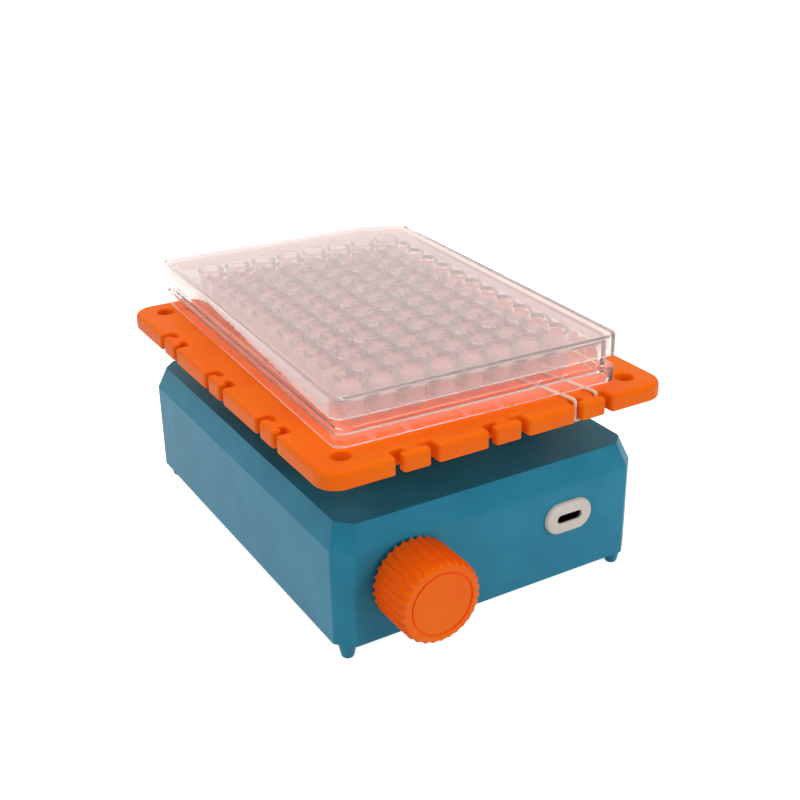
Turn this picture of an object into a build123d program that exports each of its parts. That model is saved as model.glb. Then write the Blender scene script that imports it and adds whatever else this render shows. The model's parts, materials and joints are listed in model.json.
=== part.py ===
# Small orbital shaker for one 96-well plate, as separate pieces.
# A central motor turns a crank under the tray, and four idler cranks of the same throw keep the tray
# from turning, so that the tray runs round a small circle and always faces the same way.
# Sizes are in millimetres. The origin lies on the bench under the drive axis, with +X to the right of
# the front, +Y to the back and +Z up.
import math
import os

from build123d import *

# Housing
housing_width = 97.2
housing_depth = 129.0
housing_height = 35.0
side_wall = 2.6
top_wall = 3.0
corner_cut = 4.4
top_corner_cut = 4.0
corner_round = 1.2
bevel_in = 2.6
bevel_down = 7.0

# Feet, in corner pads of the housing
foot_height = 5.4
foot_radius = 2.8
foot_tip_radius = 1.1
foot_inset_x = 4.2
foot_inset_y = 4.5
foot_stem_radius = 1.5
foot_stem_length = 5.0
pad_cut = 10.5
pad_height = 8.0

# Bottom cover and its screws
cover_thickness = 2.4
cover_recess = 0.4
cover_gap = 0.15
cover_post_radius = 3.8
cover_post_inset_x = 6.0
cover_post_inset_y = 18.5
cover_screw_radius = 1.25
cover_screw_head_radius = 2.7
cover_screw_head_height = 1.6
cover_screw_length = 12.0

# Motor under the top of the housing
motor_radius = 13.0
motor_height = 18.0
motor_boss_radius = 5.0
motor_boss_height = 2.0
motor_cap_radius = 4.0
motor_cap_height = 1.4
motor_shaft_radius = 1.5
motor_screw_radius = 1.25
motor_screw_head_radius = 2.3
motor_screw_head_height = 1.5
motor_screw_length = 6.0
motor_screw_circle = 9.0

# Crank drive, with the crank's turn from +X at rest in degrees
crank_throw = 0.8
crank_turn = -29.0
crank_lift = 0.8
hub_radius = 6.5
hub_height = 3.0
flange_radius = 10.5
flange_thickness = 3.8
shaft_cover = 0.4
crank_pin_radius = 2.0
weight_radius = 19.0
weight_screw_radius = 1.0
weight_screw_head_radius = 1.7
weight_screw_head_height = 1.0
weight_screw_angle = 30.0
set_screw_radius = 1.25

# Ball bearings, bore taken from the pin that runs in them
hub_bearing_radius = 4.5
idler_bearing_radius = 4.0
bearing_height = 4.0
bearing_land = 0.9
bearing_groove = 0.25
running_gap = 0.05
pivot_gap = 0.12
axial_gap = 0.1

# Idler cranks
idler_inset_x = 20.0
idler_inset_y = 28.5
idler_pin_radius = 1.5
idler_shoulder_radius = 2.3
idler_shoulder_height = 0.6
idler_web_radius = 5.6
idler_web_height = 3.6
idler_tail = 4.6
clip_radius = 3.1
clip_thickness = 0.6
clip_drop = 0.2
boss_wall = 2.2
housing_boss_depth = 3.0
bearing_seat_width = 1.4

# Tray
tray_gap = 13.8
tray_width = 107.2
tray_depth = 134.8
tray_thickness = 5.0
tray_corner_radius = 6.5
tray_top_round = 2.0
tray_bottom_round = 0.7
tray_hole_radius = 2.65
tray_hole_inset_x = 8.9
tray_hole_inset_y = 8.6
web_to_boss = 0.9
hub_to_boss = 1.0

# Notches for an elastic band, in pairs that leave a cleat with a narrow neck
notch_pitch_x = 27.6
notch_pitch_y = 34.3
notch_count = 3
notch_half_spread = 5.1
notch_width = 2.2
notch_depth = 4.6
notch_foot_width = 1.9
neck_half_width = 2.0
notch_lip_round = 0.7

# Elastic band, laced from the right cleat of the front edge to the middle cleat of the back edge
band_radius = 0.5
band_gap = 0.05
band_bend_radius = 1.0
band_outer_strand = 4.4
band_inner_strand = 3.3

# Speed control
knob_x = -27.8
knob_height = 22.1
knob_radius = 11.9
knob_length = 15.1
knob_wall_gap = 0.8
knob_front_round = 1.7
knob_flutes = 30
flute_radius = 0.8
knob_ring_radius = 8.85
knob_ring_width = 0.5
knob_ring_depth = 0.35
knob_recess_radius = 7.6
knob_recess_depth = 3.4
pot_radius = 8.0
pot_depth = 7.0
pot_bush_radius = 3.6
pot_bush_length = 3.2
pot_shaft_radius = 3.0
pot_shaft_inside = 4.0
pot_shaft_tip = 2.6
pot_nut_width = 10.0
pot_nut_thickness = 2.0
knob_flat = 0.8

# USB-C socket and its bezel
usb_x = 23.4
usb_height = 24.2
usb_opening_width = 8.34
usb_opening_height = 2.56
usb_shell_wall = 0.3
usb_shell_length = 7.3
usb_tongue_width = 6.7
usb_tongue_thickness = 0.7
usb_tongue_length = 4.6
usb_set_back = 0.5
bezel_width = 15.6
bezel_height = 9.4
bezel_proud = 1.4
bezel_round = 0.5
bezel_neck_margin = 1.3

# Control board
board_width = 31.0
board_depth = 40.0
board_thickness = 1.6
board_socket_inset = 16.6
board_wall_gap = 0.4
board_hole_inset = 3.4
board_screw_radius = 1.0
board_screw_head_radius = 1.9
board_screw_head_height = 1.3
board_screw_length = 7.0
standoff_radius = 2.7

# Parts on the board: sizes, then places from the board's middle
driver_width = 5.0
driver_height = 1.0
coil_width = 5.0
coil_height = 3.0
coil_round = 1.0
coil_x = 8.0
coil_y = -4.0
capacitor_radius = 3.15
capacitor_height = 7.0
capacitor_x = 1.5
capacitor_y = 11.0
plug_thickness = 4.5
plug_height = 5.0
motor_plug_width = 6.0
motor_plug_x = -8.0
motor_plug_y = 10.0
control_plug_width = 8.5
control_plug_x = -10.5
control_plug_y = -6.0

# Microplate with its lid
plate_width = 85.48
plate_depth = 127.76
plate_corner_radius = 3.2
plate_flange_height = 4.3
plate_wall = 1.4
plate_step_in = 1.6
plate_height = 12.4
plate_deck = 1.2
well_pitch = 9.0
well_columns = 8
well_rows = 12
well_radius = 3.3
well_depth = 3.9
well_block_margin = 4.2
well_block_bottom = 2.4
plate_shift_x = -0.7
plate_shift_y = 3.4
plate_turn = -2.3
plate_tilt = 0.55
plate_seat_gap = 0.15
lid_overhang = 0.15
lid_wall = 1.2
lid_top = 1.2
lid_skirt = 6.2
lid_clearance = 0.3
lid_cut_x = 11.0
lid_cut_y = 6.0
lid_edge_round = 0.6

# Places that follow from the sizes above
housing_bottom = foot_height
housing_top = housing_bottom + housing_height
cavity_top = housing_top - top_wall
bevel_start = housing_top - bevel_down
front_face = -housing_depth / 2
front_inside = front_face + side_wall
cover_post_x = housing_width / 2 - cover_post_inset_x
cover_post_y = housing_depth / 2 - cover_post_inset_y
cover_bottom = housing_bottom + cover_recess
cover_top = cover_bottom + cover_thickness
foot_x = housing_width / 2 - foot_inset_x
foot_y = housing_depth / 2 - foot_inset_y
tray_bottom = housing_top + tray_gap
tray_top = tray_bottom + tray_thickness
tray_hole_x = tray_width / 2 - tray_hole_inset_x
tray_hole_y = tray_depth / 2 - tray_hole_inset_y
idler_x = housing_width / 2 - idler_inset_x
idler_y = housing_depth / 2 - idler_inset_y
pin_x = crank_throw * math.cos(math.radians(crank_turn))
pin_y = crank_throw * math.sin(math.radians(crank_turn))
idler_places = [(x, y) for x in (-idler_x, idler_x) for y in (-idler_y, idler_y)]

motor_top = cavity_top
motor_bottom = motor_top - motor_height
hub_bottom = housing_top + crank_lift
flange_bottom = hub_bottom + hub_height
flange_top = flange_bottom + flange_thickness
hub_boss_bottom = flange_top + hub_to_boss
hub_boss_radius = hub_bearing_radius + boss_wall
pin_bottom = flange_bottom + shaft_cover / 2
pin_top = hub_boss_bottom + axial_gap + bearing_height
shaft_top = flange_bottom - shaft_cover / 2

lower_bearing_bottom = housing_top - bearing_height
idler_shoulder_bottom = housing_top + axial_gap
idler_web_bottom = idler_shoulder_bottom + idler_shoulder_height
idler_web_top = idler_web_bottom + idler_web_height
idler_boss_bottom = idler_web_top + web_to_boss
idler_boss_radius = idler_bearing_radius + boss_wall
idler_pin_top = idler_boss_bottom + bearing_height + axial_gap
clip_top = lower_bearing_bottom - housing_boss_depth - clip_drop

board_top = usb_height - usb_opening_height / 2 - usb_shell_wall
board_bottom = board_top - board_thickness
board_left = usb_x - board_socket_inset
board_front = front_inside + board_wall_gap
knob_back = front_face - knob_wall_gap
knob_front = knob_back - knob_length
bezel_front = front_face - bezel_proud
socket_front = bezel_front + usb_set_back


# The crank and all that turns with it are drawn with the pin on +X and turned to their place.
drive_place = Rot(0, 0, crank_turn)
tray_place = Pos(pin_x, pin_y, 0)


# An upright cylinder between two heights.
def post(x, y, radius, bottom, top):
    return Pos(x, y, (bottom + top) / 2) * Cylinder(radius, top - bottom)


# A cylinder along Y between two planes, seen from the front.
def bar(x, z, radius, front, back):
    return Pos(x, (front + back) / 2, z) * Rot(90, 0, 0) * Cylinder(radius, back - front)


# A block given by its corners.
def block(low, high):
    size = [b - a for a, b in zip(low, high)]
    centre = [(a + b) / 2 for a, b in zip(low, high)]
    return Pos(*centre) * Box(*size)


# A slab with round ends, flat against a plane that faces the front.
def lozenge(x, z, width, height, front, back):
    outline = Plane((x, back, z), x_dir=(1, 0, 0), z_dir=(0, -1, 0)) * SlotOverall(width, height)
    return extrude(outline, back - front)


# Plan of the housing with its four corners cut and softened.
def housing_plan(inset, cut):
    plan = Rectangle(housing_width - 2 * inset, housing_depth - 2 * inset)
    plan = chamfer(plan.vertices(), cut)
    return fillet(plan.vertices(), corner_round)


# The cut that keeps an inner wall parallel to the corner facet.
def inner_cut(inset):
    return corner_cut - inset * (2 - math.sqrt(2))


# Prism below the bevel and ruled sides over it.
def bevelled_body(lower, upper, bottom, middle, top):
    body = extrude(Pos(0, 0, bottom) * lower, middle - bottom)
    return body + loft([Pos(0, 0, middle) * lower, Pos(0, 0, top) * upper], ruled=True)


def housing_cavity():
    bevel_inset = side_wall + bevel_in * (cavity_top - bevel_start) / bevel_down
    lower = housing_plan(side_wall, inner_cut(side_wall))
    upper = housing_plan(bevel_inset, inner_cut(bevel_inset))
    pad_top = housing_bottom + pad_height
    between_pads = housing_plan(side_wall, pad_cut)
    room = bevelled_body(lower, upper, pad_top, bevel_start, cavity_top)
    return room + extrude(Pos(0, 0, housing_bottom) * between_pads, pad_height)


def make_housing_shell():
    outside = housing_plan(0, corner_cut)
    rim = housing_plan(bevel_in, top_corner_cut)
    shell = bevelled_body(outside, rim, housing_bottom, bevel_start, housing_top) - housing_cavity()
    for sx in (-1, 1):
        for sy in (-1, 1):
            x = sx * cover_post_x
            y = sy * cover_post_y
            screw_top = cover_bottom + cover_screw_length
            shell += post(x, y, cover_post_radius, cover_top, cavity_top)
            shell -= post(x, y, cover_screw_radius, cover_top, screw_top)
            stem_end = housing_bottom + foot_stem_length
            shell -= post(sx * foot_x, sy * foot_y, foot_stem_radius, housing_bottom, stem_end)
    for x, y in idler_places:
        boss_bottom = lower_bearing_bottom - housing_boss_depth
        shell += post(x, y, idler_boss_radius, boss_bottom, cavity_top)
        shell -= post(x, y, idler_bearing_radius, lower_bearing_bottom, housing_top)
        shell -= post(x, y, idler_bearing_radius - bearing_seat_width, boss_bottom, lower_bearing_bottom)
    shell -= post(0, 0, motor_boss_radius, cavity_top, housing_top)
    for x in (-motor_screw_circle, motor_screw_circle):
        shell -= post(x, 0, motor_screw_radius, cavity_top, housing_top)
        shell -= post(x, 0, motor_screw_head_radius, housing_top - motor_screw_head_height, housing_top)
    shell -= bar(knob_x, knob_height, pot_bush_radius, front_face, front_inside)
    neck_width = usb_opening_width + 2 * (usb_shell_wall + bezel_neck_margin)
    neck_height = usb_opening_height + 2 * (usb_shell_wall + bezel_neck_margin)
    shell -= lozenge(usb_x, usb_height, neck_width, neck_height, front_face, front_inside)
    return shell


def make_foot(x, y):
    slope_end = foot_height * 0.3
    outline = [
        (0, foot_height + foot_stem_length),
        (foot_stem_radius, foot_height + foot_stem_length),
        (foot_stem_radius, foot_height),
        (foot_radius, foot_height),
    ]
    stem = Polyline(*[(r, 0, z) for r, z in outline])
    side = Spline(
        (foot_radius, 0, foot_height),
        (foot_radius * 0.8, 0, slope_end),
        (foot_tip_radius, 0, 0),
        tangents=((-0.1, 0, -1), (-1, 0, -0.12)),
    )
    tip = Line((foot_tip_radius, 0, 0), (0, 0, 0))
    axis_line = Line((0, 0, 0), (0, 0, foot_height + foot_stem_length))
    profile = make_face(Curve() + [stem, side, tip, axis_line])
    return Pos(x, y, 0) * revolve(profile, Axis.Z)


def make_bottom_cover():
    plan = housing_plan(side_wall + cover_gap, pad_cut)
    cover = extrude(Pos(0, 0, cover_bottom) * plan, cover_thickness)
    for sx in (-1, 1):
        for sy in (-1, 1):
            x = sx * cover_post_x
            y = sy * cover_post_y
            cover -= post(x, y, cover_screw_radius, cover_bottom, cover_top)
            cover -= post(x, y, cover_screw_head_radius, cover_bottom, cover_bottom + cover_screw_head_height)
    for x, y in board_holes():
        screw_bottom = board_top - board_screw_length
        cover += post(x, y, standoff_radius, cover_top, board_bottom)
        cover -= post(x, y, board_screw_radius, screw_bottom, board_bottom)
    return cover


def board_holes():
    left = board_left + board_hole_inset
    right = board_left + board_width - board_hole_inset
    front = board_front + board_hole_inset
    back = board_front + board_depth - board_hole_inset
    return [(left, front), (right, front), (left, back), (right, back)]


# A screw with a flat head, pointing up when the tip is above the head.
def screw(x, y, head, tip, head_height, head_radius, radius):
    step = math.copysign(head_height, tip - head)
    low_head, high_head = sorted((head, head + step))
    low_shank, high_shank = sorted((head + step, tip))
    return post(x, y, head_radius, low_head, high_head) + post(x, y, radius, low_shank, high_shank)


def make_cover_screws():
    tip = cover_bottom + cover_screw_length
    return Compound(
        [
            screw(sx * cover_post_x, sy * cover_post_y, cover_bottom, tip,
                  cover_screw_head_height, cover_screw_head_radius, cover_screw_radius).solid()
            for sx in (-1, 1)
            for sy in (-1, 1)
        ]
    )


def make_motor_body():
    body = fillet(post(0, 0, motor_radius, motor_bottom, motor_top).edges().filter_by(GeomType.CIRCLE), 1.0)
    body += post(0, 0, motor_boss_radius, motor_top, motor_top + motor_boss_height)
    body += post(0, 0, motor_cap_radius, motor_bottom - motor_cap_height, motor_bottom)
    body -= post(0, 0, motor_shaft_radius + running_gap, motor_bottom, motor_top + motor_boss_height)
    for x in (-motor_screw_circle, motor_screw_circle):
        screw_tip = housing_top - motor_screw_length
        body -= post(x, 0, motor_screw_radius, screw_tip, motor_top)
    return body


def make_motor_screws():
    tip = housing_top - motor_screw_length
    sizes = (motor_screw_head_height, motor_screw_head_radius, motor_screw_radius)
    places = (-motor_screw_circle, motor_screw_circle)
    return Compound([screw(x, 0, housing_top, tip, *sizes).solid() for x in places])


# A shielded ball bearing: two lands with a shallow groove for the shield between them.
def bearing(x, y, bottom, outer, bore):
    top = bottom + bearing_height
    ring = post(x, y, outer, bottom, top) - post(x, y, bore, bottom, top)
    for low in (bottom, bottom + bearing_height - bearing_groove):
        groove = post(x, y, outer - bearing_land, low, low + bearing_groove)
        ring -= groove - post(x, y, bore + bearing_land, low, low + bearing_groove)
    return ring


def make_motor_shaft():
    return post(0, 0, motor_shaft_radius, motor_bottom + axial_gap, shaft_top)


def weight_screw_places():
    middle = (hub_radius + flange_radius) / 2
    turns = [math.radians(180 + side * weight_screw_angle) for side in (-1, 1)]
    return [(middle * math.cos(turn), middle * math.sin(turn)) for turn in turns]


def make_crank_hub():
    hub = post(0, 0, hub_radius, hub_bottom, flange_bottom)
    hub += post(0, 0, flange_radius, flange_bottom, flange_top)
    hub -= post(0, 0, motor_shaft_radius, hub_bottom, shaft_top)
    hub -= post(crank_throw, 0, crank_pin_radius, pin_bottom, flange_top)
    set_height = (hub_bottom + flange_bottom) / 2
    hub -= Pos((motor_shaft_radius + hub_radius) / 2, 0, set_height) * Rot(0, 90, 0) * Cylinder(
        set_screw_radius, hub_radius - motor_shaft_radius + 1
    )
    for x, y in weight_screw_places():
        hub -= post(x, y, weight_screw_radius, flange_bottom, flange_top)
        hub -= post(x, y, weight_screw_head_radius, flange_top - weight_screw_head_height, flange_top)
    return hub


def make_crank_pin():
    pin = post(crank_throw, 0, crank_pin_radius, pin_bottom, pin_top)
    return chamfer(pin.edges().filter_by(GeomType.CIRCLE).sort_by(Axis.Z)[-1], 0.3)


def make_hub_set_screw():
    reach = hub_radius - motor_shaft_radius
    middle = motor_shaft_radius + reach / 2
    set_height = (hub_bottom + flange_bottom) / 2
    return Pos(middle, 0, set_height) * Rot(0, 90, 0) * Cylinder(set_screw_radius, reach)


# Half ring on the side away from the crank pin.
def make_counterweight():
    ring = post(0, 0, weight_radius, hub_bottom, flange_bottom)
    ring -= post(0, 0, hub_radius, hub_bottom, flange_bottom)
    half = block((-weight_radius, -weight_radius, hub_bottom), (-crank_throw, weight_radius, flange_bottom))
    weight = ring & half
    for x, y in weight_screw_places():
        weight -= post(x, y, weight_screw_radius, hub_bottom, flange_bottom)
    return weight


def make_weight_screws():
    return Compound(
        [
            screw(x, y, flange_top, hub_bottom, weight_screw_head_height,
                  weight_screw_head_radius, weight_screw_radius).solid()
            for x, y in weight_screw_places()
        ]
    )


# One idler crank: a tail in the housing's bearing, a web, and a pin for the tray's bearing.
def make_idler_crank(x, y):
    tail_bottom = lower_bearing_bottom - idler_tail
    crank = post(x, y, idler_pin_radius, tail_bottom, idler_shoulder_bottom)
    crank += post(x, y, idler_shoulder_radius, idler_shoulder_bottom, idler_web_bottom)
    web = post(x, y, idler_web_radius, idler_web_bottom, idler_web_top)
    crank += chamfer(web.edges().filter_by(GeomType.CIRCLE), 0.4)
    crank += post(x + pin_x, y + pin_y, idler_shoulder_radius, idler_web_top, idler_boss_bottom - axial_gap)
    crank += post(x + pin_x, y + pin_y, idler_pin_radius, idler_boss_bottom - axial_gap, idler_pin_top)
    return crank


def make_idler_clip(x, y):
    low = clip_top - clip_thickness
    ring = post(x, y, clip_radius, low, clip_top) - post(x, y, idler_pin_radius, low, clip_top)
    mouth_half = idler_pin_radius * 0.7
    mouth = block((x, y - mouth_half, low), (x + clip_radius, y + mouth_half, clip_top))
    return ring - mouth


# Notch pairs of one edge: the edge runs along the first axis and the tray lies behind it.
def edge_notches(pitch):
    count_middle = (notch_count - 1) / 2
    marks = Sketch()
    for index in range(notch_count):
        middle = (index - count_middle) * pitch
        for side in (-1, 1):
            mouth_depth = notch_depth - notch_foot_width / 2
            mouth_middle = middle + side * notch_half_spread
            mouth = Pos(mouth_middle, mouth_depth / 2 - notch_width / 2) * Rectangle(
                notch_width, mouth_depth + notch_width
            )
            lip_width = notch_width + 2 * notch_lip_round
            mouth += Pos(mouth_middle, 0) * Rectangle(lip_width, 2 * notch_lip_round) - [
                Pos(mouth_middle + way * lip_width / 2, notch_lip_round) * Circle(notch_lip_round)
                for way in (-1, 1)
            ]
            outer = notch_half_spread + notch_width / 2
            foot_middle = middle + side * (outer + neck_half_width) / 2
            foot = Pos(foot_middle, mouth_depth) * SlotOverall(outer - neck_half_width, notch_foot_width)
            marks += mouth + foot
    return marks


def make_tray_platform():
    plan = fillet(Rectangle(tray_width, tray_depth).vertices(), tray_corner_radius)
    slab = extrude(Pos(0, 0, tray_bottom) * plan, tray_thickness)
    slab = fillet(slab.faces().sort_by(Axis.Z)[-1].edges(), tray_top_round)
    slab = fillet(slab.faces().sort_by(Axis.Z)[0].edges(), tray_bottom_round)
    for turn, reach, pitch in (
        (0, tray_depth / 2, notch_pitch_x),
        (90, tray_width / 2, notch_pitch_y),
        (180, tray_depth / 2, notch_pitch_x),
        (270, tray_width / 2, notch_pitch_y),
    ):
        marks = Rot(0, 0, turn) * Pos(0, -reach, tray_bottom) * edge_notches(pitch)
        slab -= extrude(marks, tray_thickness)
    for x in (-tray_hole_x, tray_hole_x):
        for y in (-tray_hole_y, tray_hole_y):
            slab -= post(x, y, tray_hole_radius, tray_bottom, tray_top)
    for x, y in idler_places:
        slab += post(x, y, idler_boss_radius, idler_boss_bottom, tray_bottom)
        slab -= post(x, y, idler_bearing_radius, idler_boss_bottom, idler_boss_bottom + bearing_height)
        relief_top = idler_pin_top + web_to_boss
        slab -= post(x, y, idler_bearing_radius - bearing_seat_width, idler_boss_bottom, relief_top)
    slab += post(0, 0, hub_boss_radius, hub_boss_bottom, tray_bottom)
    slab -= post(0, 0, hub_bearing_radius, hub_boss_bottom, hub_boss_bottom + bearing_height)
    slab -= post(0, 0, hub_bearing_radius - bearing_seat_width, hub_boss_bottom, pin_top + hub_to_boss)
    return tray_place * slab


# The band is one loop: two strands over the tray, round the neck of a cleat at each end.
def make_elastic_band():
    over = tray_top + band_radius + band_gap
    under = tray_bottom - band_radius - band_gap
    foot_line = tray_depth / 2 - notch_depth + notch_foot_width / 2
    front_left = notch_pitch_x - band_outer_strand
    front_right = notch_pitch_x + band_inner_strand
    back_left = -band_outer_strand
    back_right = band_inner_strand
    route = [
        (front_left, -foot_line, over),
        (back_left, foot_line, over),
        (back_left, foot_line, under),
        (back_right, foot_line, under),
        (back_right, foot_line, over),
        (front_right, -foot_line, over),
        (front_right, -foot_line, under),
        (front_left, -foot_line, under),
    ]
    path = FilletPolyline(*route, radius=band_bend_radius, close=True)
    lengths = [sweep(Plane(edge @ 0, z_dir=edge % 0) * Circle(band_radius), edge) for edge in path.edges()]
    return tray_place * (Part() + lengths)


def make_knob():
    body = bar(knob_x, knob_height, knob_radius, knob_front, knob_back)
    rims = body.edges().filter_by(GeomType.CIRCLE).sort_by(Axis.Y)
    body = fillet(rims[0], knob_front_round)
    for index in range(knob_flutes):
        turn = 2 * math.pi * index / knob_flutes
        x = knob_x + knob_radius * math.cos(turn)
        z = knob_height + knob_radius * math.sin(turn)
        body -= bar(x, z, flute_radius, knob_front, knob_back)
    ring_back = knob_front + knob_ring_depth
    ring = bar(knob_x, knob_height, knob_ring_radius + knob_ring_width / 2, knob_front, ring_back)
    ring -= bar(knob_x, knob_height, knob_ring_radius - knob_ring_width / 2, knob_front, ring_back)
    body -= ring
    body -= bar(knob_x, knob_height, knob_recess_radius, knob_back - knob_recess_depth, knob_back)
    return body - pot_shaft_outside()


# The part of the control's shaft that sits in the knob, with a flat on its upper side.
def pot_shaft_outside():
    tip = knob_front + pot_shaft_tip
    shaft = bar(knob_x, knob_height, pot_shaft_radius, tip, knob_back - knob_recess_depth)
    flat_low = knob_height + pot_shaft_radius - knob_flat
    flat = block(
        (knob_x - pot_shaft_radius, tip, flat_low),
        (knob_x + pot_shaft_radius, knob_back - knob_recess_depth, knob_height + pot_shaft_radius),
    )
    return shaft - flat


def make_pot_shaft():
    inner_end = front_inside + pot_shaft_inside
    recess_end = knob_back - knob_recess_depth
    return pot_shaft_outside() + bar(knob_x, knob_height, pot_shaft_radius, recess_end, inner_end)


def make_potentiometer_body():
    body = bar(knob_x, knob_height, pot_radius, front_inside, front_inside + pot_depth)
    body += bar(knob_x, knob_height, pot_bush_radius, front_face - pot_bush_length, front_inside)
    shaft_room = front_inside + pot_shaft_inside + axial_gap
    body -= bar(knob_x, knob_height, pot_shaft_radius + running_gap, front_face - pot_bush_length, shaft_room)
    return body


def make_potentiometer_nut():
    hexagon = RegularPolygon(pot_nut_width / 2, 6, major_radius=False)
    outline = Plane((knob_x, front_face, knob_height), x_dir=(1, 0, 0), z_dir=(0, -1, 0)) * hexagon
    nut = extrude(outline, pot_nut_thickness)
    return nut - bar(knob_x, knob_height, pot_bush_radius, front_face - pot_nut_thickness, front_face)


def make_usb_socket():
    outer_width = usb_opening_width + 2 * usb_shell_wall
    outer_height = usb_opening_height + 2 * usb_shell_wall
    back = socket_front + usb_shell_length
    shell = lozenge(usb_x, usb_height, outer_width, outer_height, socket_front, back)
    room_back = back - usb_shell_wall
    shell -= lozenge(usb_x, usb_height, usb_opening_width, usb_opening_height, socket_front, room_back)
    tongue = block(
        (usb_x - usb_tongue_width / 2, back - usb_tongue_length, usb_height - usb_tongue_thickness / 2),
        (usb_x + usb_tongue_width / 2, room_back, usb_height + usb_tongue_thickness / 2),
    )
    return shell + tongue


def make_usb_bezel():
    flange = lozenge(usb_x, usb_height, bezel_width, bezel_height, bezel_front, front_face)
    front_edges = flange.faces().sort_by(Axis.Y)[0].edges()
    bezel = fillet(front_edges, bezel_round)
    neck_width = usb_opening_width + 2 * (usb_shell_wall + bezel_neck_margin)
    neck_height = usb_opening_height + 2 * (usb_shell_wall + bezel_neck_margin)
    bezel += lozenge(usb_x, usb_height, neck_width, neck_height, front_face, front_inside)
    bezel -= lozenge(usb_x, usb_height, usb_opening_width, usb_opening_height, bezel_front, socket_front)
    outer_width = usb_opening_width + 2 * usb_shell_wall
    outer_height = usb_opening_height + 2 * usb_shell_wall
    return bezel - lozenge(usb_x, usb_height, outer_width, outer_height, socket_front, front_inside)


def make_control_board():
    low = (board_left, board_front, board_bottom)
    high = (board_left + board_width, board_front + board_depth, board_top)
    board = block(low, high)
    for x, y in board_holes():
        board -= post(x, y, board_screw_radius, board_bottom, board_top)
    return board


def make_board_screws():
    tip = board_top - board_screw_length
    return Compound(
        [
            screw(x, y, board_top + board_screw_head_height, tip, board_screw_head_height,
                  board_screw_head_radius, board_screw_radius).solid()
            for x, y in board_holes()
        ]
    )


# Motor driver, coil, capacitor and the plugs for the motor and the speed control.
def make_board_components():
    middle_x = board_left + board_width / 2
    middle_y = board_front + board_depth / 2

    def on_board(x, y, width, depth, height):
        return Pos(middle_x + x, middle_y + y, board_top + height / 2) * Box(width, depth, height)

    driver = on_board(0, 0, driver_width, driver_width, driver_height)
    coil = on_board(coil_x, coil_y, coil_width, coil_width, coil_height)
    coil = fillet(coil.edges().filter_by(Axis.Z), coil_round)
    place = (middle_x + capacitor_x, middle_y + capacitor_y)
    capacitor = post(*place, capacitor_radius, board_top, board_top + capacitor_height)
    motor_plug = on_board(motor_plug_x, motor_plug_y, motor_plug_width, plug_thickness, plug_height)
    control_plug = on_board(control_plug_x, control_plug_y, plug_thickness, control_plug_width, plug_height)
    return Compound([item.solid() for item in (driver, coil, capacitor, motor_plug, control_plug)])


# A rounded slab of the plate or its lid, centred on the plate.
def plate_slab(width, depth, radius, bottom, top):
    return extrude(Pos(0, 0, bottom) * fillet(Rectangle(width, depth).vertices(), radius), top - bottom)


# The plate rests with its back edge on the tray and its front edge on the two strands of the band.
def place_plate(piece):
    hinge_y = plate_depth / 2
    tilted = Pos(0, hinge_y, plate_seat_gap) * Rot(-plate_tilt, 0, 0) * Pos(0, -hinge_y, 0)
    spot = Pos(plate_shift_x, plate_shift_y, tray_top) * Rot(0, 0, plate_turn)
    return tray_place * spot * tilted * piece


def make_microplate():
    inner_radius = plate_corner_radius - plate_wall
    plate = plate_slab(plate_width, plate_depth, plate_corner_radius, 0, plate_flange_height)
    upper_inset = plate_step_in + lid_overhang
    upper_height = plate_height - plate_flange_height
    plate += extrude(Pos(0, 0, plate_flange_height) * lid_plan(upper_inset), upper_height)
    room_top = plate_height - plate_deck
    plate -= plate_slab(plate_width - 2 * plate_wall, plate_depth - 2 * plate_wall, inner_radius,
                        0, plate_flange_height - plate_wall)
    plate -= extrude(lid_plan(upper_inset + plate_wall), room_top)
    block_width = (well_columns - 1) * well_pitch + 2 * well_block_margin
    block_depth = (well_rows - 1) * well_pitch + 2 * well_block_margin
    plate += plate_slab(block_width, block_depth, well_block_margin - 0.4, well_block_bottom, plate_height)
    wells = GridLocations(well_pitch, well_pitch, well_columns, well_rows)
    mouths = Sketch() + [place * Circle(well_radius) for place in wells]
    return plate - extrude(Pos(0, 0, plate_height - well_depth) * mouths, well_depth)


def lid_plan(inset):
    width = plate_width + 2 * (lid_overhang - inset)
    depth = plate_depth + 2 * (lid_overhang - inset)
    plan = fillet(Rectangle(width, depth).vertices(), plate_corner_radius)
    right = width / 2
    back = depth / 2
    off_cut = make_face(Polyline(
        (right - lid_cut_x, back), (right, back - lid_cut_y), (right + lid_cut_x, back + lid_cut_y),
        (right - lid_cut_x, back), close=False))
    return plan - off_cut


def make_plate_lid():
    inner_top = plate_height + lid_clearance
    top = inner_top + lid_top
    bottom = top - lid_skirt
    lid = extrude(Pos(0, 0, bottom) * lid_plan(0), lid_skirt)
    lid = fillet(lid.faces().sort_by(Axis.Z)[-1].edges(), lid_edge_round)
    return lid - extrude(Pos(0, 0, bottom) * lid_plan(lid_wall), inner_top - bottom)


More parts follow.
